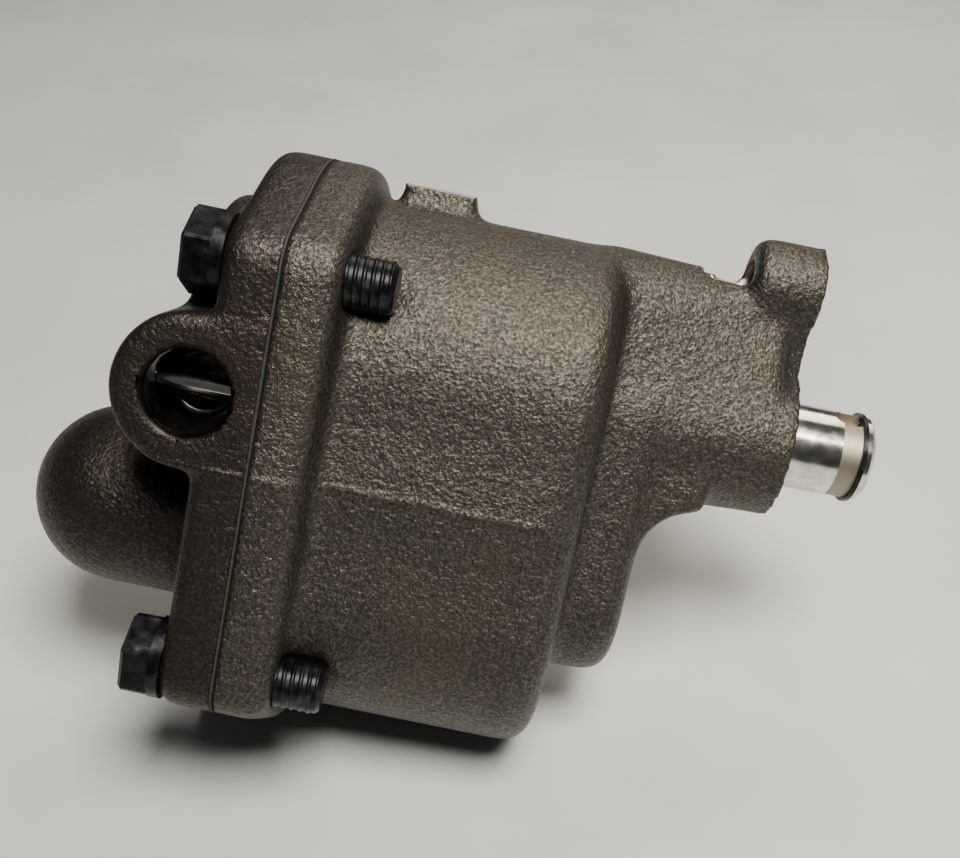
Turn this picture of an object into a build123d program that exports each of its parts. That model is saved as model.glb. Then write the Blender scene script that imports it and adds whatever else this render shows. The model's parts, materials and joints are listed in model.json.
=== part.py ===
from build123d import *
import os
from math import acos, cos, pi, radians, sin, tan

os.makedirs("parts", exist_ok=True)

# A hydraulic gear pump with two equal spur gears, lying on a bench.
# The origin is where the drive shaft's axis meets the mounting face. +X runs out along the shaft.
# A section across the pump has its own two directions: V, from the idler to the drive shaft,
# and W, towards the relief valve's mouth. +Z is up as the pump lies, rolled over by lay_angle.

# Driving dimensions, in mm
lay_angle = 28.5
centre_distance = 38.0

# Stations along X
joint_face = -98.3
gasket_thickness = 0.4
plate_thickness = 10.1
platform_face = -116.6
dome_centre = -129.6
flange_back = -87.6
barrel_end = -37.8
idler_boss_end = -24.5
shaft_end = 17.8

# Castings
barrel_radius = 31.8
barrel_drop = 3.0
parting_crest = 0.9
flange_radius = 38.0
flange_drop = 2.0
ear_radius = 8.2
boss_radius = 15.2
idler_boss_radius = 17.3
platform_radius = 28.0
dome_radius = 18.6

# Gears
teeth = 12
pressure_angle = 28.0
tip_radius = 22.0
root_radius = 15.2
gear_width = 38.0
flank_play = 0.06
end_play = 0.05
chamber_radius = 22.1
wear_plate_thickness = 3.0

# Shafts and bushes
shaft_radius = 8.7
stub_radius = 8.65
stub_length = 11.2
band_radius = 8.45
idler_shaft_radius = 7.0
bush_radius = 10.0
idler_bush_radius = 9.0
running_clearance = 0.04

# Cover fasteners: 3/8-inch bolts with lock washers
bolt_radius = 4.75
bolt_hole_radius = 4.8
head_across_flats = 14.3
head_height = 5.3
bolt_length = 32.0
washer_radius = 7.7
washer_thickness = 2.2
bolt_offset_v = 38.4
bolt_offset_w = 30.0
dowel_radius = 3.2
dowel_depth = 7.0

# Relief valve
relief_x = -111.2
relief_v = -6.0
relief_face = 38.6
relief_boss_radius = 14.3
relief_bore_radius = 7.7
relief_bore_floor = 12.5
seat_thickness = 2.5
piston_length = 4.0
pin_radius = 2.1
pin_height = 28.5
spring_radius = 6.5
spring_wire = 1.6

# Ports and passages
pocket_radius = 7.0
pocket_offset = 17.0
suction_radius = 9.5
discharge_radius = 8.0
gallery_radius = 3.5

cover_face = joint_face - gasket_thickness
plate_face = cover_face - plate_thickness
chamber_floor = joint_face + gear_width + 2 * wear_plate_thickness
middle_v = -centre_distance / 2
bolt_middle_v = middle_v - 1.5
axes = [(0, 0), (-centre_distance, 0)]
bolt_places = [
    (bolt_middle_v + v * bolt_offset_v, w * bolt_offset_w) for v in (-1, 1) for w in (-1, 1)
]
dowel_places = [(middle_v, -31.5), (middle_v, 31.5)]

v_dir = Vector(0, sin(radians(lay_angle)), cos(radians(lay_angle)))
w_dir = Vector(0, -cos(radians(lay_angle)), sin(radians(lay_angle)))


def place(x, v, w):
    """A point given by its station along X and its V and W."""
    return Vector(x, 0, 0) + v_dir * v + w_dir * w


def section(x):
    """A plane across the pump. Its local x is V and its local y is W."""
    return Plane(origin=place(x, 0, 0), x_dir=v_dir, z_dir=(1, 0, 0))


def near_side(w, x=0, v=0):
    """A plane that faces W. Its local x is the pump's X and its local y is V."""
    return Plane(origin=place(x, v, w), x_dir=(1, 0, 0), z_dir=w_dir)


def far_side(w, x=0, v=0):
    """A plane that faces away from W, for the ports on the far side."""
    return Plane(origin=place(x, v, w), x_dir=(1, 0, 0), z_dir=w_dir * -1)


def crest_outline(radius):
    """The draft of the mould's two halves, which meet in a low crest at the parting line."""
    reach = centre_distance / 2
    for side in (-1, 1):
        Polygon(
            (middle_v - reach, side * (radius - 2)),
            (middle_v - reach, side * (radius - 0.6)),
            (middle_v, side * (radius + parting_crest)),
            (middle_v + reach, side * (radius - 0.6)),
            (middle_v + reach, side * (radius - 2)),
            align=None,
        )


def flange_outline():
    """The bolting outline: an obround about both axes with an ear at each bolt."""
    with Locations((0, 0), (-centre_distance - flange_drop, 0)):
        Circle(flange_radius)
    with Locations(*bolt_places):
        Circle(ear_radius)
    make_hull()


def chamber_outline(radius):
    """The figure of eight that the two gears fill."""
    with Locations(*axes):
        Circle(radius)


# ---------------------------------------------------------------- body casting
# The nose tapers from the barrel to the mounting face. Its ridge carries the fixing lug.
ridge_root = (17.5, 15.0)
ridge_tip = (25.0, 6.0)
nose_root_radius = 17.4
nose_root = barrel_end - 4
nose_tip = -4.0
lug_height = 30.8
lug_radius = 9.0
lug_length = 13.5
lug_hole_radius = 4.3


def nose_outline(radius, ridge):
    """The drive boss's circle, drawn up to the ridge above it."""
    Circle(radius)
    with Locations((ridge[0], 0)):
        Circle(ridge[1])
    make_hull()


with BuildPart() as nose:
    with BuildSketch(section(nose_root)):
        nose_outline(nose_root_radius, ridge_root)
    with BuildSketch(section(nose_tip)):
        nose_outline(boss_radius, ridge_tip)
    loft()

# The web below the nose runs down to the idler boss through a large hollow fillet.
web_fillet = 11.0
with BuildPart() as web:
    with BuildSketch(near_side(0)):
        with BuildLine():
            start = (idler_boss_end + web_fillet, -boss_radius + 0.4)
            end = (idler_boss_end, -boss_radius + 0.4 - web_fillet)
            CenterArc((start[0], end[1]), web_fillet, 90, 90)
            Polyline(end, (barrel_end, end[1]), (barrel_end, 0), (start[0], 0), start)
        make_face()
    extrude(amount=idler_boss_radius, both=True)
    with BuildSketch(section(barrel_end)):
        with Locations(*axes):
            Circle(boss_radius)
        make_hull()
    extrude(amount=-barrel_end, mode=Mode.INTERSECT)

with BuildPart() as idler_boss:
    with BuildSketch(section(barrel_end - 4)):
        with Locations(*axes):
            Circle(idler_boss_radius)
        make_hull()
    extrude(amount=idler_boss_end - barrel_end + 4)
    fillet(idler_boss.faces().sort_by(Axis.X)[-1].edges(), 5.0)

with BuildPart() as lug:
    with BuildSketch(section(-lug_length)):
        with Locations((lug_height, 0)):
            Circle(lug_radius)
    extrude(amount=lug_length)
    fillet(lug.faces().sort_by(Axis.X)[0].edges(), 2.5)
    with BuildSketch(section(-lug_length)):
        with Locations((lug_height / 2, 0)):
            Rectangle(lug_height - 6, 9)
    extrude(amount=lug_length)

# A machined pad on top of the barrel faces a little away from the relief valve.
pad_tilt = 11.0
pad_height = 35.2
pad_start, pad_end = -84.0, -69.0
pad_plane = Plane(
    origin=(pad_start, 0, 0),
    x_dir=v_dir * cos(radians(pad_tilt)) - w_dir * sin(radians(pad_tilt)),
    z_dir=(1, 0, 0),
)

with BuildPart() as pump_body:
    with BuildSketch(section(joint_face)):
        with Locations((0, 0), (-centre_distance - barrel_drop, 0)):
            Circle(barrel_radius)
        make_hull()
    extrude(amount=barrel_end - joint_face)
    fillet(pump_body.faces().sort_by(Axis.X)[-1].edges(), 5.5)
    with BuildSketch(section(joint_face)):
        flange_outline()
    extrude(amount=flange_back - joint_face)
    flange_rear = pump_body.faces().filter_by(Axis.X).sort_by(Axis.X)[1]
    fillet(flange_rear.inner_wires()[0].edges(), 2.5)
    flange_rear = pump_body.faces().filter_by(Axis.X).sort_by(Axis.X)[1]
    fillet(flange_rear.outer_wire().edges(), 3.6)
    for radius, end in ((flange_radius, flange_back - 2.5), (barrel_radius, barrel_end - 6)):
        with BuildSketch(section(joint_face)):
            crest_outline(radius)
        extrude(amount=end - joint_face)
    with BuildSketch(pad_plane):
        with Locations((pad_height - 10, 0)):
            Rectangle(20, 19)
    extrude(amount=pad_end - pad_start)
    add(nose.part)
    with BuildSketch(section(nose_root)):
        Circle(boss_radius)
    extrude(amount=-nose_root)
    add(web.part)
    add(idler_boss.part)
    add(lug.part)
    # Suction port boss on the far side
    with BuildSketch(far_side(-37, x=-66, v=middle_v)):
        Circle(suction_radius + 5.5)
    extrude(amount=-12)

    # Gear chamber and the two pockets beside the mesh
    with BuildSketch(section(joint_face)):
        chamber_outline(chamber_radius)
        with Locations((middle_v, -pocket_offset), (middle_v, pocket_offset)):
            Circle(pocket_radius)
    extrude(amount=chamber_floor - joint_face, mode=Mode.SUBTRACT)
    with BuildSketch(far_side(-37, x=-66, v=middle_v)):
        Circle(suction_radius)
    extrude(amount=-16, mode=Mode.SUBTRACT)

    # Shaft bores
    with BuildSketch(section(chamber_floor)):
        Circle(bush_radius)
    extrude(amount=18, mode=Mode.SUBTRACT)
    with BuildSketch(section(chamber_floor)):
        Circle(shaft_radius + 0.6)
    extrude(amount=-chamber_floor, mode=Mode.SUBTRACT)
    with BuildSketch(section(-18)):
        Circle(bush_radius)
    extrude(amount=18, mode=Mode.SUBTRACT)
    with BuildSketch(section(chamber_floor)):
        with Locations((-centre_distance, 0)):
            Circle(idler_shaft_radius)
    extrude(amount=20, mode=Mode.SUBTRACT)

    # Bolt, dowel and lug holes
    with BuildSketch(section(joint_face)):
        with Locations(*bolt_places):
            Circle(bolt_hole_radius)
    extrude(amount=flange_back - joint_face + 10, mode=Mode.SUBTRACT)
    with BuildSketch(section(joint_face)):
        with Locations(*dowel_places):
            Circle(dowel_radius)
    extrude(amount=dowel_depth + 1, mode=Mode.SUBTRACT)
    with BuildSketch(section(-lug_length - 9)):
        with Locations((lug_height, 0)):
            Circle(lug_hole_radius)
    extrude(amount=lug_length + 9, mode=Mode.SUBTRACT)

# ---------------------------------------------------------------- end cover
with BuildPart() as relief_boss:
    with BuildSketch(near_side(relief_face, x=relief_x, v=relief_v)):
        Circle(relief_boss_radius)
        with Locations(((cover_face - relief_x) / 2, 0)):
            Rectangle(cover_face - relief_x, 2 * relief_boss_radius)
    extrude(amount=-relief_face - 6)
    split(bisect_by=Plane.YZ.offset(cover_face), keep=Keep.BOTTOM)
    front = relief_boss.faces().sort_by(Axis(origin=(0, 0, 0), direction=w_dir))[-1]
    fillet(front.edges().sort_by(Axis.X)[:-1], 1.6)

with BuildPart() as dome:
    with BuildSketch(near_side(0)):
        with BuildLine():
            Line((dome_centre - dome_radius, -centre_distance), (plate_face + 2, -centre_distance))
            Line((plate_face + 2, -centre_distance), (plate_face + 2, -centre_distance + dome_radius))
            Line((plate_face + 2, -centre_distance + dome_radius),
                 (dome_centre, -centre_distance + dome_radius))
            CenterArc((dome_centre, -centre_distance), dome_radius, 90, 90)
        make_face()
    revolve(axis=Axis(origin=place(0, -centre_distance, 0), direction=(1, 0, 0)))

with BuildPart() as end_cover:
    with BuildSketch(section(cover_face)):
        flange_outline()
    extrude(amount=-plate_thickness)
    fillet(end_cover.faces().sort_by(Axis.X)[0].edges(), 2.5)
    with BuildSketch(section(plate_face + 1)):
        Circle(platform_radius)
    extrude(amount=platform_face - plate_face - 1)
    fillet(end_cover.faces().sort_by(Axis.X)[0].edges(), 2.5)
    add(relief_boss.part)
    add(dome.part)
    with BuildSketch(far_side(-22, x=dome_centre + 1.4, v=-centre_distance)):
        Circle(discharge_radius + 4.5)
    extrude(amount=-12)

    # Chamber in the dome and the discharge port
    with BuildSketch(section(-118)):
        with Locations((-centre_distance, 0)):
            Circle(12.5)
    extrude(amount=-18, mode=Mode.SUBTRACT)
    with BuildSketch(far_side(-22, x=dome_centre + 1.4, v=-centre_distance)):
        Circle(discharge_radius)
    extrude(amount=-14, mode=Mode.SUBTRACT)

    # Passages from the discharge pocket to the dome and to the relief valve's seat
    with BuildSketch(section(cover_face)):
        for end in ((-29.5, 8.5), (-12.0, 8.5)):
            with Locations((middle_v, pocket_offset - 2), end):
                Circle(gallery_radius)
        make_hull()
    extrude(amount=-5, mode=Mode.SUBTRACT)
    with BuildSketch(section(cover_face)):
        with Locations((-29.5, 8.5)):
            Circle(gallery_radius)
    extrude(amount=-24, mode=Mode.SUBTRACT)
    with BuildSketch(section(cover_face)):
        with Locations((-12.0, 8.5)):
            Circle(gallery_radius)
    extrude(amount=relief_x - gallery_radius - cover_face, mode=Mode.SUBTRACT)
    with BuildSketch(near_side(relief_bore_floor, x=relief_x, v=relief_v)):
        Circle(4.0)
    extrude(amount=-3.7, mode=Mode.SUBTRACT)

    # Relief bore, its chamfered mouth and the hole for its pin
    with BuildSketch(near_side(relief_face, x=relief_x, v=relief_v)):
        Circle(relief_bore_radius)
    extrude(amount=relief_bore_floor - relief_face, mode=Mode.SUBTRACT)
    with BuildSketch(near_side(relief_face, x=relief_x, v=relief_v)):
        Circle(relief_bore_radius + 0.9)
    extrude(amount=-0.9, taper=45, mode=Mode.SUBTRACT)
    with BuildSketch(section(relief_x - relief_boss_radius - 2)):
        with Locations((relief_v, pin_height)):
            Circle(pin_radius)
    extrude(amount=relief_boss_radius + 2 + 11, mode=Mode.SUBTRACT)

    # Shaft, bolt and dowel holes
    with BuildSketch(section(cover_face)):
        Circle(bush_radius)
    extrude(amount=-12, mode=Mode.SUBTRACT)
    with BuildSketch(section(cover_face)):
        with Locations((-centre_distance, 0)):
            Circle(idler_shaft_radius)
    extrude(amount=-14, mode=Mode.SUBTRACT)
    with BuildSketch(section(cover_face)):
        with Locations(*bolt_places):
            Circle(bolt_hole_radius)
    extrude(amount=-plate_thickness, mode=Mode.SUBTRACT)
    with BuildSketch(section(plate_face)):
        with Locations(*bolt_places):
            Circle(washer_radius + 1)
    extrude(amount=-head_height - washer_thickness - 2, mode=Mode.SUBTRACT)
    with BuildSketch(section(cover_face)):
        with Locations(*dowel_places):
            Circle(dowel_radius)
    extrude(amount=-dowel_depth - 1, mode=Mode.SUBTRACT)

# ---------------------------------------------------------------- joint
with BuildPart() as cover_gasket:
    with BuildSketch(section(cover_face)):
        flange_outline()
        with Locations(*axes):
            Circle(chamber_radius + 1, mode=Mode.SUBTRACT)
        with Locations((middle_v, -pocket_offset), (middle_v, pocket_offset)):
            Circle(pocket_radius + 1, mode=Mode.SUBTRACT)
        with Locations(*bolt_places):
            Circle(bolt_hole_radius + 0.4, mode=Mode.SUBTRACT)
        with Locations(*dowel_places):
            Circle(dowel_radius + 0.3, mode=Mode.SUBTRACT)
    extrude(amount=gasket_thickness)

with BuildPart() as cover_dowels:
    with BuildSketch(section(joint_face - dowel_depth)):
        with Locations(*dowel_places):
            Circle(dowel_radius)
    extrude(amount=2 * dowel_depth)


def washer_ring(inner, outer):
    """A ring at each cover bolt."""
    with Locations(*bolt_places):
        Circle(outer)
        Circle(inner, mode=Mode.SUBTRACT)


with BuildPart() as cover_lock_washers:
    with BuildSketch(section(plate_face)):
        washer_ring(bolt_radius + 0.3, washer_radius)
        with Locations(*[(v + washer_radius, w) for v, w in bolt_places]):
            Rectangle(2 * washer_radius, 1.2, rotation=25, mode=Mode.SUBTRACT)
    extrude(amount=-washer_thickness)

under_head = plate_face - washer_thickness
with BuildPart() as cover_bolts:
    with BuildSketch(section(under_head)):
        with Locations(*bolt_places):
            RegularPolygon(head_across_flats / 2, 6, major_radius=False, rotation=8)
    extrude(amount=-head_height)
    with BuildSketch(section(under_head)):
        with Locations(*bolt_places):
            Circle(head_across_flats / 2 + 0.9)
    extrude(amount=-head_height, mode=Mode.INTERSECT)
    heads = cover_bolts.faces().filter_by(Axis.X).group_by(Axis.X)[0]
    chamfer(heads.edges(), 0.7)
    with BuildSketch(section(under_head)):
        with Locations(*bolt_places):
            Circle(bolt_radius)
    extrude(amount=bolt_length)
    tips = cover_bolts.faces().filter_by(Axis.X).group_by(Axis.X)[-1]
    chamfer(tips.edges(), 0.9)

# ---------------------------------------------------------------- wear plates and bushes


def wear_plate(x):
    """A plate that fills the gear chamber's outline beside the gears."""
    with BuildPart() as plate:
        with BuildSketch(section(x)):
            chamber_outline(chamber_radius - 0.03)
            Circle(shaft_radius + 0.3, mode=Mode.SUBTRACT)
            with Locations((-centre_distance, 0)):
                Circle(idler_shaft_radius + 0.1, mode=Mode.SUBTRACT)
        extrude(amount=wear_plate_thickness)
    return plate.part


def bush(x, length, outer, inner, v=0.0):
    """A plain bearing bush that starts at x, on the axis at v."""
    with BuildPart() as ring:
        with BuildSketch(section(x)):
            with Locations((v, 0)):
                Circle(outer)
                Circle(inner, mode=Mode.SUBTRACT)
        extrude(amount=length)
    return ring.part


# ---------------------------------------------------------------- drive shaft
ring_groove = (15.1, 16.0)
groove_radius = 7.6
key_width, key_height, key_length = 4.0, 4.0, 22.0
gear_start = joint_face + wear_plate_thickness + end_play
gear_length = gear_width - 2 * end_play
gear_middle = gear_start + gear_length / 2
hub_recess = 1.6
ring_thickness = 1.1
ring_starts = (gear_start + 0.2, gear_start + gear_length - 0.2 - ring_thickness)
key_seat = shaft_radius - key_height / 2

with BuildPart() as drive_shaft:
    with BuildSketch(section(cover_face - 11)):
        Circle(shaft_radius)
    extrude(amount=shaft_end - cover_face + 11)
    chamfer(drive_shaft.faces().filter_by(Axis.X).edges(), 0.8)
    with BuildSketch(section(0)):
        Circle(shaft_radius + 1)
        Circle(stub_radius, mode=Mode.SUBTRACT)
    extrude(amount=shaft_end, mode=Mode.SUBTRACT)
    with BuildSketch(section(stub_length)):
        Circle(shaft_radius + 1)
        Circle(band_radius, mode=Mode.SUBTRACT)
    extrude(amount=ring_groove[0] - stub_length, mode=Mode.SUBTRACT)
    with BuildSketch(section(ring_groove[0])):
        Circle(shaft_radius + 1)
        Circle(groove_radius, mode=Mode.SUBTRACT)
    extrude(amount=ring_groove[1] - ring_groove[0], mode=Mode.SUBTRACT)
    for x in ring_starts:
        with BuildSketch(section(x)):
            Circle(shaft_radius + 1)
            Circle(shaft_radius - 0.8, mode=Mode.SUBTRACT)
        extrude(amount=ring_thickness, mode=Mode.SUBTRACT)
    # Seat of the gear's key
    with BuildSketch(section(gear_middle - key_length / 2)):
        with Locations((0, key_seat + 2)):
            Rectangle(key_width, 4)
    extrude(amount=key_length, mode=Mode.SUBTRACT)
    # Round-ended keyway in the stub
    with BuildSketch(
        Plane(
            origin=place(0, 0, 0),
            x_dir=(1, 0, 0),
            z_dir=v_dir * sin(radians(72)) + w_dir * cos(radians(72)),
        ).offset(6.9)
    ):
        with Locations((12.7, 0)):
            SlotOverall(6.4, 4.8)
    extrude(amount=4, mode=Mode.SUBTRACT)

with BuildPart() as drive_gear_key:
    with BuildSketch(section(gear_middle - key_length / 2)):
        with Locations((0, key_seat + key_height / 2)):
            Rectangle(key_width, key_height)
    extrude(amount=key_length)

with BuildPart() as gear_retaining_rings:
    for x in ring_starts:
        with BuildSketch(section(x)):
            Circle(10.2)
            Circle(shaft_radius - 0.8, mode=Mode.SUBTRACT)
            with Locations((9, 0)):
                Rectangle(8, 3.4, mode=Mode.SUBTRACT)
        extrude(amount=ring_thickness)

with BuildPart() as shaft_retaining_ring:
    with BuildSketch(section(ring_groove[0] + 0.05)):
        Circle(9.2)
        Circle(groove_radius, mode=Mode.SUBTRACT)
        with Locations((4.5, -7)):
            Rectangle(6, 6, rotation=-57, mode=Mode.SUBTRACT)
    extrude(amount=0.8)

# ---------------------------------------------------------------- gears
pitch_radius = centre_distance / 2
base_radius = pitch_radius * cos(radians(pressure_angle))


def involute(angle):
    """The involute function of an angle in radians."""
    return tan(angle) - angle


def half_tooth(radius):
    """Half of a tooth's angle at a radius, in radians, less the flank play."""
    rolled = acos(min(1.0, base_radius / radius))
    at_pitch = pi / (2 * teeth) + involute(radians(pressure_angle)) - flank_play / pitch_radius
    return at_pitch - involute(rolled)


def on_circle(radius, angle):
    """A point at a radius and an angle in radians."""
    return (radius * cos(angle), radius * sin(angle))


with BuildSketch() as tooth:
    with BuildLine():
        radii = [base_radius + (tip_radius - base_radius) * step / 5 for step in range(6)]
        upper = [on_circle(r, half_tooth(r)) for r in radii]
        lower = [(x, -y) for x, y in upper]
        foot = on_circle(root_radius - 1, half_tooth(base_radius))
        Spline(*upper)
        Spline(*lower)
        ThreePointArc(upper[-1], (tip_radius, 0), lower[-1])
        Polyline(upper[0], foot, (foot[0], -foot[1]), lower[0])
    make_face()


def gear(v, turn, bore):
    """A spur gear on the axis at v, turned by an angle, with a plain bore."""
    with BuildPart() as wheel:
        with BuildSketch(section(gear_start)):
            with Locations((v, 0)):
                Circle(root_radius)
                with PolarLocations(0, teeth, start_angle=turn):
                    add(tooth.sketch)
                Circle(bore, mode=Mode.SUBTRACT)
        extrude(amount=gear_length)
    return wheel.part


with BuildPart() as drive_gear:
    add(gear(0, 0, shaft_radius))
    for x in (gear_start, gear_start + gear_length - hub_recess):
        with BuildSketch(section(x)):
            Circle(11.0)
        extrude(amount=hub_recess, mode=Mode.SUBTRACT)
    with BuildSketch(section(gear_start)):
        with Locations((0, key_seat + key_height / 2 + 0.1)):
            Rectangle(key_width, key_height + 0.2)
    extrude(amount=gear_length, mode=Mode.SUBTRACT)

with BuildPart() as idler_gear:
    add(gear(-centre_distance, 180 / teeth, idler_bush_radius))

# ---------------------------------------------------------------- relief valve
with BuildPart() as relief_valve_seat:
    with BuildSketch(near_side(relief_bore_floor, x=relief_x, v=relief_v)):
        Circle(relief_bore_radius)
        Circle(3.5, mode=Mode.SUBTRACT)
    extrude(amount=seat_thickness)

piston_foot = relief_bore_floor + seat_thickness
with BuildPart() as relief_valve_piston:
    with BuildSketch(near_side(piston_foot, x=relief_x, v=relief_v)):
        Circle(relief_bore_radius - 0.05)
    extrude(amount=piston_length)
    with BuildSketch(near_side(piston_foot + piston_length, x=relief_x, v=relief_v)):
        Circle(4.2)
    extrude(amount=2.0)

spring_foot = piston_foot + piston_length
spring_height = pin_height - pin_radius - spring_foot - spring_wire - 0.1
coil_radius = spring_radius - spring_wire / 2
coil_start = place(relief_x, relief_v, spring_foot + spring_wire / 2 + 0.05)
with BuildPart() as relief_valve_spring:
    with BuildLine():
        coil = Helix(2.6, spring_height, coil_radius, center=coil_start, direction=w_dir)
    with BuildSketch(Plane(origin=coil @ 0, z_dir=coil % 0)):
        Circle(spring_wire / 2)
    sweep()

with BuildPart() as relief_retaining_pin:
    with BuildSketch(section(relief_x - relief_boss_radius + 0.6)):
        with Locations((relief_v, pin_height)):
            Circle(pin_radius)
    extrude(amount=relief_boss_radius - 0.6 + 11)
    chamfer(relief_retaining_pin.faces().filter_by(Axis.X).edges(), 0.4)

# ---------------------------------------------------------------- the parts list
pieces = {
    "pump_body": pump_body.part,
    "end_cover": end_cover.part,
    "cover_gasket": cover_gasket.part,
    "cover_dowels": cover_dowels.part,
    "cover_lock_washers": cover_lock_washers.part,
    "cover_bolts": cover_bolts.part,
    "cover_wear_plate": wear_plate(joint_face),
    "body_wear_plate": wear_plate(chamber_floor - wear_plate_thickness),
    "cover_drive_bush": bush(cover_face - 12, 12, bush_radius, shaft_radius + running_clearance),
    "body_drive_bush": bush(chamber_floor, 18, bush_radius, shaft_radius + running_clearance),
    "nose_bush": bush(-18, 18, bush_radius, shaft_radius + running_clearance),
    "idler_shaft": bush(cover_face - 14, chamber_floor + 20 - cover_face + 14,
                        idler_shaft_radius, 2.0, v=-centre_distance),
    "idler_gear_bush": bush(gear_start, gear_length, idler_bush_radius,
                            idler_shaft_radius + running_clearance, v=-centre_distance),
    "drive_shaft": drive_shaft.part,
    "drive_gear": drive_gear.part,
    "drive_gear_key": drive_gear_key.part,
    "gear_retaining_rings": gear_retaining_rings.part,
    "shaft_retaining_ring": shaft_retaining_ring.part,
    "idler_gear": idler_gear.part,
    "relief_valve_seat": relief_valve_seat.part,
    "relief_valve_piston": relief_valve_piston.part,
    "relief_valve_spring": relief_valve_spring.part,
    "relief_retaining_pin": relief_retaining_pin.part,
}
for name, piece in pieces.items():
    piece.label = name
    export_step(piece, f"parts/{name}.step")
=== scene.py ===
# %% [markdown]
# # Hydraulic gear pump
# The CAD model is the frame: it fixes every size, place and joint. Blender adds what CAD leaves
# out, which on this pump is the skin of the sand castings, the threads and the finish of each metal.

# %% Load the frame
import json
import math

import bmesh
import bpy
import numpy as np
from mathutils import Matrix, Vector


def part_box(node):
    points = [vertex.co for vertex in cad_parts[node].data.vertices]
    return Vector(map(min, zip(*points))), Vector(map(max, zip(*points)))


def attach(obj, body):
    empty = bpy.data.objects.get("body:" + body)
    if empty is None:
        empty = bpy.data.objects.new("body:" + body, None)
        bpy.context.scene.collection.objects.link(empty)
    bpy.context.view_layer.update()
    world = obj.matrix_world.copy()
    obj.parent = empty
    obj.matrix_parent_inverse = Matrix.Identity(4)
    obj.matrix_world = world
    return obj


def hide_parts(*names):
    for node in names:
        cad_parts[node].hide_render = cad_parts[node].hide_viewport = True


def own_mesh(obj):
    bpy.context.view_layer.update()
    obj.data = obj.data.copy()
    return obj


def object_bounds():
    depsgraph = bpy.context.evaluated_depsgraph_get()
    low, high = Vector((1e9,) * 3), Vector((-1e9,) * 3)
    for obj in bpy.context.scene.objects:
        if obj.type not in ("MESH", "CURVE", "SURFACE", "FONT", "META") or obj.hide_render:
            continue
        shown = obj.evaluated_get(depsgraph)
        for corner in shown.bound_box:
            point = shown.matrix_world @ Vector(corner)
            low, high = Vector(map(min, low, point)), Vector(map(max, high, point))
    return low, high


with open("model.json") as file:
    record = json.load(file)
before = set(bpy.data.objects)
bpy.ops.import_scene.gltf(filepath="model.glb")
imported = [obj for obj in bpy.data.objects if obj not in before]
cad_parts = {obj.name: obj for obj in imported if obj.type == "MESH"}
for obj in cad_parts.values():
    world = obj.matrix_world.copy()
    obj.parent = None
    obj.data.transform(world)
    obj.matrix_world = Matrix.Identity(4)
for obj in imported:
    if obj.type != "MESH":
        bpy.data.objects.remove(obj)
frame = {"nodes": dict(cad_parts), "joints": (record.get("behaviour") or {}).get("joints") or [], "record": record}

cad_low, cad_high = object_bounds()
print("the CAD box is", [round(1000 * (b - a), 1) for a, b in zip(cad_low, cad_high)], "mm")

# %% [markdown]
# The pump lies rolled over, so its own directions aren't the world's. W runs out of the relief
# valve's bore, and the valve's slide joint gives it. X is the shaft. V is square to both and runs
# from the idler to the drive shaft.

# %% The pump's own directions
MM = 0.001
joints = {joint["name"]: joint for joint in frame["joints"]}
x_dir = Vector((1, 0, 0))
w_dir = Vector(joints["relief_lift"]["axis"]).normalized()
v_dir = w_dir.cross(x_dir)
idler_axis = Vector(joints["idler_spin"]["pos_m"])
seam_v = idler_axis.dot(v_dir) / MM / 2
mounts = {mount["name"]: mount for mount in frame["record"]["mounts"]}


def place(x, v, w):
    """A point in metres from its X, V and W in millimetres."""
    return (x_dir * x + v_dir * v + w_dir * w) * MM


def in_section(points):
    """The V and W of many points, in millimetres."""
    return points @ np.array(v_dir) / MM, points @ np.array(w_dir) / MM


print("the idler's axis is", round((idler_axis.length) / MM, 1), "mm from the drive shaft's")

# %% [markdown]
# Every colour is written as the hex value that a screen shows, and one function turns it to the
# linear light that a shader works in. One more function adds a node with its settings and links.

# %% Colours and nodes


def linear(code):
    """An sRGB hex colour as linear RGBA."""
    parts = [int(code[i:i + 2], 16) / 255 for i in (1, 3, 5)]
    return [c / 12.92 if c <= 0.04045 else ((c + 0.055) / 1.055) ** 2.4 for c in parts] + [1.0]


def add(tree, kind, settings=None, **inputs):
    """A node of a kind. An input is a value, or another node's output to link from."""
    node = tree.nodes.new(kind)
    for name, value in (settings or {}).items():
        setattr(node, name, value)
    for name, value in inputs.items():
        key = int(name[2:]) if name.startswith("in") and name[2:].isdigit() else name.replace("_", " ")
        if isinstance(value, bpy.types.NodeSocket):
            tree.links.new(value, node.inputs[key])
        else:
            node.inputs[key].default_value = value
    return node


def ramp(tree, factor, *stops):
    """A colour ramp through (position, hex) stops."""
    node = add(tree, "ShaderNodeValToRGB", Fac=factor)
    elements = node.color_ramp.elements
    while len(elements) < len(stops):
        elements.new(0.5)
    for element, (position, code) in zip(elements, stops):
        element.position = position
        element.color = linear(code)
    return node.outputs["Color"]


def new_material(name, **shader):
    """An empty material with its own shader, and the tree's Object coordinates."""
    material = bpy.data.materials.new(name)
    material.use_nodes = True
    tree = material.node_tree
    tree.nodes.clear()
    surface = add(tree, "ShaderNodeBsdfPrincipled", **shader)
    output = add(tree, "ShaderNodeOutputMaterial")
    tree.links.new(surface.outputs["BSDF"], output.inputs["Surface"])
    where = add(tree, "ShaderNodeTexCoord").outputs["Object"]
    return material, tree, surface, where


def grains(tree, where, size_mm, **more):
    """Noise whose lumps are about size_mm across."""
    return add(tree, "ShaderNodeTexNoise", Vector=where, Scale=1000 / size_mm, **more).outputs["Fac"]


def spread(tree, factor, low, high, to_low, to_high):
    """A factor's span from low to high, spread over another span."""
    node = add(tree, "ShaderNodeMapRange", in0=factor, in1=low, in2=high, in3=to_low, in4=to_high)
    return node.outputs["Result"]


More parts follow.
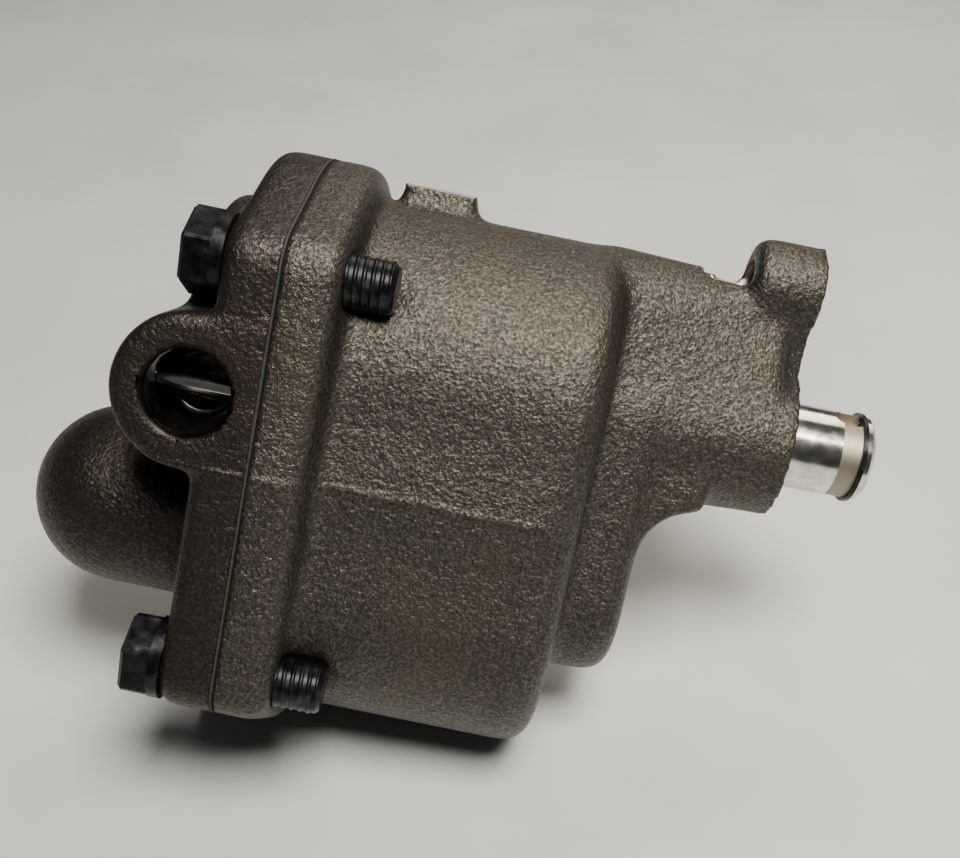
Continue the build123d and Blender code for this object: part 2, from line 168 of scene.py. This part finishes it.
# %% [markdown]
# Sand-cast grey iron keeps the print of the sand it was poured in: grains about 0.6 mm across, with
# a few larger pits. Shot blasting leaves the tops of the grains brighter than the hollows, so the
# same grain drives the bump, the colour and the roughness.

# %% Cast iron


def cast_iron(name, hollow, skin, crown, rust, grain_mm, depth_mm):
    """Sand-cast iron, shot blasted, with the grain of its mould."""
    material, tree, surface, where = new_material(name, Metallic=0.85)
    grain = grains(tree, where, grain_mm, Detail=3.0, Roughness=0.6)
    pits = grains(tree, where, grain_mm * 3.2, Detail=2.0)
    cloud = grains(tree, where, 24, Detail=3.0)
    height = add(tree, "ShaderNodeMath", {"operation": "MULTIPLY_ADD"}, in0=pits, in1=1.1, in2=grain)
    base = ramp(tree, grain, (0.32, hollow), (0.5, skin), (0.7, crown))
    stain = spread(tree, cloud, 0.5, 0.75, 0.0, 0.55)
    tinted = add(tree, "ShaderNodeMix", {"data_type": "RGBA"}, in0=stain, in6=base, in7=linear(rust))
    tree.links.new(tinted.outputs[2], surface.inputs["Base Color"])
    tree.links.new(spread(tree, grain, 0.35, 0.7, 0.52, 0.32), surface.inputs["Roughness"])
    bump = add(tree, "ShaderNodeBump", Height=height.outputs[0], Strength=1.0, Distance=depth_mm * MM)
    tree.links.new(bump.outputs["Normal"], surface.inputs["Normal"])
    return material


iron_body = cast_iron("sand_cast_iron_body", "#2c2926", "#403c36", "#615c55", "#4e4537", 0.62, 0.34)
iron_cover = cast_iron("sand_cast_iron_cover", "#211e1c", "#302b28", "#453f3a", "#392f29", 0.7, 0.28)
print("made", iron_body.name, "and", iron_cover.name)

# %% [markdown]
# Where a cutter has passed, the iron is bare. Fine turned or milled lines cross it, and it reflects
# light in a band across those lines.

# %% Machined metals


def turned_metal(name, colour, dark, line_mm, roughness):
    """Bare metal with the fine lines of a lathe or a grinding wheel across the shaft's direction."""
    line_depth_mm = 0.004
    material, tree, surface, where = new_material(name, Metallic=1.0)
    lines = add(tree, "ShaderNodeTexWave", {"bands_direction": "X"}, Vector=where,
                Scale=1000 / line_mm / 20, Distortion=0.6, Detail=2.0)
    smear = grains(tree, where, 3.0, Detail=4.0)
    tree.links.new(ramp(tree, smear, (0.3, dark), (0.62, colour)), surface.inputs["Base Color"])
    shine = spread(tree, smear, 0.2, 0.8, roughness * 0.75, roughness * 1.3)
    tree.links.new(shine, surface.inputs["Roughness"])
    bump = add(tree, "ShaderNodeBump", Height=lines.outputs["Fac"], Strength=0.6,
               Distance=line_depth_mm * MM)
    tree.links.new(bump.outputs["Normal"], surface.inputs["Normal"])
    return material


cut_iron = turned_metal("machined_cast_iron", "#8d877d", "#736d64", 0.5, 0.42)
ground_steel = turned_metal("ground_steel_shaft", "#dcdad2", "#b3afa3", 0.35, 0.16)
polished_steel = turned_metal("polished_steel_pin", "#f2f1ec", "#d9d8d2", 0.3, 0.12)
tooth_steel = turned_metal("hobbed_gear_steel", "#a7a49c", "#7d7a73", 0.4, 0.3)
bush_bronze = turned_metal("turned_bronze_bush", "#b58a4f", "#8d6736", 0.4, 0.3)
spring_wire = turned_metal("drawn_spring_wire", "#5b5a57", "#2f2e2d", 0.6, 0.3)
# The bore iron is cut metal with oil on it, painted nearly black as painted shade inside the relief valve's bore.
oily_bore_painted_shade_iron = turned_metal("oily_bored_iron", "#2c2926", "#171513", 0.5, 0.42)


def band(name, first, last, colour, roughness):
    """Gives a metal a duller band between two stations along the shaft."""
    material = bpy.data.materials[name]
    tree = material.node_tree
    surface = next(node for node in tree.nodes if node.type == "BSDF_PRINCIPLED")
    where = add(tree, "ShaderNodeTexCoord").outputs["Object"]
    station = add(tree, "ShaderNodeSeparateXYZ", Vector=where).outputs["X"]
    inside = add(tree, "ShaderNodeMath", {"operation": "COMPARE"}, in0=station,
                 in1=(first + last) / 2 * MM, in2=(last - first) / 2 * MM).outputs[0]
    for socket, index, value in (("Base Color", 6, linear(colour)), ("Roughness", 2, roughness)):
        kind = "RGBA" if index == 6 else "FLOAT"
        mix = add(tree, "ShaderNodeMix", {"data_type": kind}, in0=inside)
        tree.links.new(surface.inputs[socket].links[0].from_socket, mix.inputs[index])
        mix.inputs[index + 1].default_value = value
        tree.links.new(mix.outputs[2 if kind == "RGBA" else 0], surface.inputs[socket])


band("ground_steel_shaft", 11.2, 15.1, "#8f887b", 0.5)

# %% [markdown]
# The bolts and washers are black oxide: a conversion layer a micrometre thick, kept oily. It is
# nearly black, with a soft sheen, and it wears to grey on the corners and the ends.

# %% Black oxide and gasket paper


def black_oxide(name):
    """Blackened, oiled steel, a little worn."""
    material, tree, surface, where = new_material(name, Metallic=0.85)
    patches = grains(tree, where, 2.4, Detail=5.0)
    colour = ramp(tree, patches, (0.35, "#161617"), (0.6, "#26262a"), (0.78, "#4b4a4a"))
    tree.links.new(colour, surface.inputs["Base Color"])
    tree.links.new(spread(tree, patches, 0.3, 0.8, 0.26, 0.48), surface.inputs["Roughness"])
    bump = add(tree, "ShaderNodeBump", Height=grains(tree, where, 0.4), Strength=0.35, Distance=0.02 * MM)
    tree.links.new(bump.outputs["Normal"], surface.inputs["Normal"])
    return material


def gasket_paper(name):
    """Pressed fibre sheet, dark with oil."""
    material, tree, surface, where = new_material(name, Roughness=0.8)
    fibres = grains(tree, where, 0.8, Detail=4.0)
    tree.links.new(ramp(tree, fibres, (0.3, "#151312"), (0.7, "#2a2522")), surface.inputs["Base Color"])
    bump = add(tree, "ShaderNodeBump", Height=fibres, Strength=0.5, Distance=0.03 * MM)
    tree.links.new(bump.outputs["Normal"], surface.inputs["Normal"])
    return material


oxide = black_oxide("black_oxide_steel")
joint_paper = gasket_paper("oiled_gasket_paper")

finishes = {
    "cover_gasket": joint_paper, "cover_dowels": ground_steel, "cover_lock_washers": oxide,
    "cover_bolts": oxide, "cover_wear_plate": bush_bronze, "body_wear_plate": bush_bronze,
    "cover_drive_bush": bush_bronze, "body_drive_bush": bush_bronze, "nose_bush": bush_bronze,
    "idler_shaft": ground_steel, "idler_gear_bush": bush_bronze, "drive_shaft": ground_steel,
    "drive_gear": tooth_steel, "drive_gear_key": ground_steel, "gear_retaining_rings": oxide,
    "shaft_retaining_ring": oxide, "idler_gear": tooth_steel, "relief_valve_seat": ground_steel,
    "relief_valve_piston": tooth_steel, "relief_valve_spring": spring_wire,
    "relief_retaining_pin": polished_steel, "pump_body": iron_body, "end_cover": iron_cover,
}
for node, material in finishes.items():
    mesh = frame["nodes"][node].data
    mesh.materials.clear()
    mesh.materials.append(material)
print("gave", len(finishes), "CAD nodes their finishes")

# %% [markdown]
# A pattern maker puts a hollow fillet in every inside corner, because molten iron tears at a sharp
# one, and the sand rounds every outside corner. CAD fillets fail where many walls meet. Here a copy
# of each casting is remeshed into even squares and its corners are relaxed, which rounds them all
# at once. Machined places are held still, so faces and bores stay true.

# %% Relax a casting


def merged_copy(node, name):
    """A copy of a CAD node whose loose triangles are joined."""
    mesh = frame["nodes"][node].data.copy()
    mesh.name = name
    work = bmesh.new()
    work.from_mesh(mesh)
    bmesh.ops.remove_doubles(work, verts=work.verts, dist=0.002 * MM)
    work.to_mesh(mesh)
    work.free()
    mesh.materials.clear()
    piece = bpy.data.objects.new(name, mesh)
    bpy.context.scene.collection.objects.link(piece)
    return piece


def settle(piece):
    """Turns a piece's modifiers into plain mesh."""
    view_layer = bpy.context.view_layer
    view_layer.update()
    mesh = bpy.data.meshes.new_from_object(piece.evaluated_get(bpy.context.evaluated_depsgraph_get()))
    piece.modifiers.clear()
    piece.data = mesh


def relaxed(points, edges, free, passes):
    """Points moved towards their neighbours' middle, as far as free, from 0 to 1, lets them."""
    count = np.zeros(len(points))
    np.add.at(count, edges.ravel(), 1)
    for _ in range(passes):
        total = np.zeros_like(points)
        for axis in range(3):
            total[:, axis] = np.bincount(edges[:, 0], points[edges[:, 1], axis], len(points))
            total[:, axis] += np.bincount(edges[:, 1], points[edges[:, 0], axis], len(points))
        points = points + 0.6 * free[:, None] * (total / count[:, None] - points)
    return points


seam_half_width, seam_height, seam_from_w = 0.9, 0.45, 30.5


def crest(points):
    """The low seam that the mould's two halves leave where they meet, as a step for each point."""
    v, w = in_section(points)
    share = np.clip(1 - np.abs(v - seam_v) / seam_half_width, 0, 1) * (np.abs(w) > seam_from_w)
    return (share * seam_height * np.sign(w))[:, None] * MM * np.array(w_dir)


def casting(node, name, skin, voxel_mm, passes, machined):
    """A casting's skin, with rounded corners. machined(x, v, w) gives each point's finish: 0 is as
    cast, -1 is as cast beside a cut edge, 1 is cut and bright, and 2 is cut, oiled and darkened
    with painted shade, as inside the relief valve's bore."""
    piece = merged_copy(node, name)
    remesh = piece.modifiers.new("squares", "REMESH")
    remesh.mode = "VOXEL"
    remesh.voxel_size = voxel_mm * MM
    settle(piece)
    mesh = piece.data
    points = np.empty(len(mesh.vertices) * 3)
    mesh.vertices.foreach_get("co", points)
    points = points.reshape(-1, 3)
    edges = np.empty(len(mesh.edges) * 2, dtype=np.int64)
    mesh.edges.foreach_get("vertices", edges)
    v, w = in_section(points)
    finish = machined(points[:, 0] / MM, v, w)
    cut = finish != 0
    points = relaxed(points, edges.reshape(-1, 2), np.where(cut, 0.0, 1.0), passes)
    points = points + crest(points) * np.where(cut, 0.0, 1.0)[:, None]
    mesh.vertices.foreach_set("co", points.ravel())
    mesh.materials.clear()
    for material in (skin, cut_iron, oily_bore_painted_shade_iron):
        mesh.materials.append(material)
    for polygon in mesh.polygons:
        polygon.use_smooth = True
        polygon.material_index = max(0, min(finish[i] for i in polygon.vertices))
    mesh.update()
    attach(piece, "housing")
    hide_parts(node)
    print(name, "has", len(mesh.polygons), "squares,", int(cut.sum()), "points held")
    return piece


def near(v, w, centre, radius):
    """Which points of a section lie within a radius of a centre."""
    return np.hypot(v - centre[0], w - centre[1]) < radius


# %% [markdown]
# The bolts stand on a rectangle. Their tips are read from the CAD node itself, one in each corner.

# %% Find the bolts
bolt_points = np.array([corner.co for corner in frame["nodes"]["cover_bolts"].data.vertices])
bolt_v, bolt_w = in_section(bolt_points)
middle_v = (bolt_v.min() + bolt_v.max()) / 2
bolts = []
for high in (False, True):
    for close in (False, True):
        mine = ((bolt_v > middle_v) == high) & ((bolt_w > 0) == close)
        bolts.append(((bolt_v[mine].min() + bolt_v[mine].max()) / 2,
                      (bolt_w[mine].min() + bolt_w[mine].max()) / 2))
tip_x = bolt_points[:, 0].max() / MM
print("the bolts stand at V, W =", [(round(v, 1), round(w, 1)) for v, w in bolts])

# %% Skins of the two castings
joint_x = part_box("pump_body")[0][0] / MM
cover_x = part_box("end_cover")[1][0] / MM
plate_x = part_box("cover_lock_washers")[1][0] / MM
flange_x = -87.6
lug = Vector(mounts["lug_hole"]["pos_m"]) / MM
suction = Vector(mounts["suction_port"]["pos_m"]) / MM
discharge = Vector(mounts["discharge_port"]["pos_m"]) / MM
seat_low, seat_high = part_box("relief_valve_seat")
relief = (Vector(seat_low) + Vector(seat_high)) / 2 / MM
relief_radius = 7.7
bush_bore, bush_depth = 10.6, 18.5
bolt_hole, spot_face = 4.8, 9.2
pad_height, pad_tilt = 35.2, math.radians(11)
suction_face, discharge_face = 37, 22
edge_mm, face_mm = 0.55, 0.2
lug_bore, suction_bore, discharge_bore = (
    mounts[name]["dims"]["r_mm"] for name in ("lug_hole", "suction_port", "discharge_port"))


def body_cuts(x, v, w):
    """The finish of each of the body's points."""
    cut = (x > -edge_mm) | (x < joint_x + edge_mm)
    cut |= near(v, w, (0, 0), bush_bore) & (x > -bush_depth)
    cut |= near(v, w, (lug.dot(v_dir), lug.dot(w_dir)), lug_bore + edge_mm) & (x > -24)
    for bolt in bolts:
        cut |= near(v, w, bolt, bolt_hole + edge_mm) & (x < flange_x + 0.3)
    port = np.hypot(x - suction.x, v - suction.dot(v_dir))
    cut |= (port < suction_bore + edge_mm) & (w < -20)
    cut |= (port < suction_bore + 5) & (w < -suction_face + edge_mm)
    across_pad = v * math.cos(pad_tilt) - w * math.sin(pad_tilt)
    cut |= (across_pad > pad_height - edge_mm) & (x < -60) & (x > flange_x + 0.3)
    rim = (x > -edge_mm) & (x < -face_mm)
    rim |= (x < joint_x + edge_mm) & (x > joint_x + face_mm)
    return np.where(rim, -1, cut.astype(int))


def cover_cuts(x, v, w):
    """The finish of each of the end cover's points."""
    cut = x > cover_x - edge_mm
    bore = np.hypot(x - relief.x, v - relief.dot(v_dir))
    # The relief valve's bore and its chamfer get the dark bore iron: real oil, plus painted shade inside the hole.
    oily_shaded_bore = (bore < relief_radius + 1.3) & (w > 10)
    port = np.hypot(x - discharge.x, v - discharge.dot(v_dir))
    cut |= (port < discharge_bore + edge_mm) & (w < -6)
    cut |= (port < discharge_bore + 4) & (w < -discharge_face + edge_mm)
    for bolt in bolts:
        cut |= near(v, w, bolt, spot_face) & (x < plate_x + 0.35)
        cut |= near(v, w, bolt, bolt_hole + edge_mm) & (x > plate_x)
    rim = (x > cover_x - edge_mm) & (x < cover_x - face_mm)
    return np.where(rim & ~oily_shaded_bore, -1, (cut | oily_shaded_bore).astype(int) + oily_shaded_bore)


body_skin = casting("pump_body", "pump_body_casting", iron_body, 0.88, 14, body_cuts)
cover_skin = casting("end_cover", "end_cover_casting", iron_cover, 0.7, 16, cover_cuts)

# %% [markdown]
# The bolts' ends come through the flange, and their threads show there. Each is a tube whose radius
# rises and falls as it goes round and along, one pitch a turn. A 3/8-inch coarse thread has a
# pitch of 1.59 mm.

# %% Threads on the bolt ends


def surface_of(name, rows, material, body):
    """A closed skin through rings of points, each ring the same length, with its ends filled."""
    around = len(rows[0])
    corners = [point for row in rows for point in row]
    faces = [(i * around + j, i * around + (j + 1) % around,
              (i + 1) * around + (j + 1) % around, (i + 1) * around + j)
             for i in range(len(rows) - 1) for j in range(around)]
    faces += [tuple(range(around))[::-1], tuple(range(len(corners) - around, len(corners)))]
    mesh = bpy.data.meshes.new(name)
    mesh.from_pydata(corners, [], faces)
    work = bmesh.new()
    work.from_mesh(mesh)
    bmesh.ops.recalc_face_normals(work, faces=work.faces)
    work.to_mesh(mesh)
    work.free()
    mesh.materials.append(material)
    for polygon in mesh.polygons:
        polygon.use_smooth = len(polygon.vertices) == 4
    piece = bpy.data.objects.new(name, mesh)
    bpy.context.scene.collection.objects.link(piece)
    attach(piece, body)
    return piece


def thread(name, centre, start, end):
    """A thread on the end of the bolt that stands at a V and W."""
    pitch, crest_radius, depth = 1.5875, 5.02, 0.36
    rows = []
    steps = int((end - start) / pitch * 10)
    for step in range(steps + 1):
        x = start + (end - start) * step / steps
        run_out = min(1.0, (end - x) / 1.1)
        row = []
        for turn in range(40):
            angle = 2 * math.pi * turn / 40
            wave = abs(((x / pitch - turn / 40) % 1) * 2 - 1)
            radius = crest_radius - depth * min(1.0, wave * 1.25) - 0.75 * (1 - run_out)
            row.append(place(x, centre[0] + radius * math.cos(angle), centre[1] + radius * math.sin(angle)))
        rows.append(row)
    return surface_of(name, rows, oxide, "housing")


for number, centre in enumerate(bolts):
    thread(f"bolt_thread_{number + 1}", centre, flange_x - 1, tip_x + 0.05)
print("cut", len(bolts), "threads")

# %% [markdown]
# The relief valve's spring is a real coil with closed ends: the first and last turns lie flat
# against the piston and the pin, and the turns between are spread out. The real spring shortens
# as the valve lifts; this coil is built at one length and held with the housing.

# %% Relief valve spring


def span(node, direction):
    """A CAD node's reach along a direction, in millimetres."""
    reach = [corner.co.dot(direction) / MM for corner in frame["nodes"][node].data.vertices]
    return min(reach), max(reach)


spring_foot, spring_top = span("relief_valve_spring", w_dir)
spring_left, spring_right = span("relief_valve_spring", x_dir)
spring_v = sum(span("relief_valve_spring", v_dir)) / 2
wire = 0.75
coil = (spring_right - spring_left) / 2 - wire
turns, closed = 3.4, 0.7
rows = []
for step in range(181):
    turn = turns * step / 180
    open_share = min(1.0, max(0.0, (turn - closed) / (turns - 2 * closed)))
    w = spring_foot + wire + (spring_top - spring_foot - 2 * wire) * open_share
    angle = 2 * math.pi * turn
    out = x_dir * math.cos(angle) + v_dir * math.sin(angle)
    middle = place((spring_left + spring_right) / 2, spring_v, w) + out * coil * MM
    rows.append([middle + (out * math.cos(a) + w_dir * math.sin(a)) * wire * MM
                 for a in (2 * math.pi * i / 12 for i in range(12))])
spring = surface_of("relief_valve_coil", rows, spring_wire, "housing")
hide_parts("relief_valve_spring")
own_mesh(spring)

# %% [markdown]
# The bench is a plain pale slab. It is leaned a little along the shaft and brought up until it meets
# the pump's lowest point, which is on the end of the barrel. The flange hangs just clear of it, and
# nothing else holds the pump at this angle: the slab is a backdrop, not a support.

# %% Bench
bench_slope = math.radians(9.5)
bench_up = Vector((-math.sin(bench_slope), 0, math.cos(bench_slope)))
skins = [np.array([corner.co for corner in skin.data.vertices]) for skin in (body_skin, cover_skin)]
touch = min(float((points @ np.array(bench_up)).min()) for points in skins)
bench_half = 3.0
bench_mesh = bpy.data.meshes.new("bench")
across = Vector((math.cos(bench_slope), 0, math.sin(bench_slope)))
centre = bench_up * touch
bench_mesh.from_pydata(
    [centre + across * i * bench_half + Vector((0, j * bench_half, 0))
     for i, j in ((-1, -1), (1, -1), (1, 1), (-1, 1))], [], [(0, 1, 2, 3)])
bench = bpy.data.objects.new("bench", bench_mesh)
bpy.context.scene.collection.objects.link(bench)
slab, tree, surface, where = new_material("painted_steel_bench", Roughness=0.5)
scuffs = grains(tree, where, 60, Detail=6.0)
tree.links.new(ramp(tree, scuffs, (0.3, "#a9aba9"), (0.7, "#b4b6b3")), surface.inputs["Base Color"])
bench_mesh.materials.append(slab)

# %% [markdown]
# The light is a broad lamp overhead, which draws a bright band along the tops of the castings and
# leaves their undersides dark. A weaker one behind lights the bench, and the world gives the rest.

# %% Light


def soft_light(name, toward, distance, size, power, colour):
    """A square area light that looks at the pump's middle from a direction."""
    lamp = bpy.data.lights.new(name, "AREA")
    lamp.size = size
    lamp.energy = power
    lamp.color = linear(colour)[:3]
    lit = bpy.data.objects.new(name, lamp)
    middle = (Vector(cad_low) + Vector(cad_high)) / 2
    direction = Vector(toward).normalized()
    lit.location = middle + direction * distance
    lit.rotation_euler = direction.to_track_quat("Z", "Y").to_euler()
    bpy.context.scene.collection.objects.link(lit)
    return lit


soft_light("ceiling_lamp", (0.1, -0.3, 1.0), 0.8, 0.3, 17, "#fffaf2")
soft_light("far_window", (0.1, 0.8, 0.8), 1.0, 0.6, 6, "#fff4e6")
world = bpy.data.worlds.new("studio")
world.use_nodes = True
world.node_tree.nodes["Background"].inputs["Color"].default_value = linear("#d4d7d6")
world.node_tree.nodes["Background"].inputs["Strength"].default_value = 0.1
bpy.context.scene.world = world

# %% [markdown]
# The camera looks at the relief valve's side, a little from above it, and leans so that the shaft
# falls to the right.

# %% Camera
view_rise, view_lean = math.radians(11.5), math.radians(11.5)
back = v_dir * math.sin(view_rise) + w_dir * math.cos(view_rise)
upward = v_dir * math.cos(view_rise) - w_dir * math.sin(view_rise)
right = x_dir * math.cos(view_lean) + upward * math.sin(view_lean)
over = upward * math.cos(view_lean) - x_dir * math.sin(view_lean)
aim = x_dir * -0.0598 - upward * 0.0095
eye = aim + back * 0.240
lens = bpy.data.cameras.new("camera")
lens.lens = 44.0
lens.sensor_width = 36.0
lens.clip_start = 0.01
camera = bpy.data.objects.new("camera", lens)
camera.matrix_world = Matrix.Translation(eye) @ Matrix((right, over, back)).transposed().to_4x4()
bpy.context.scene.collection.objects.link(camera)
bpy.context.scene.camera = camera
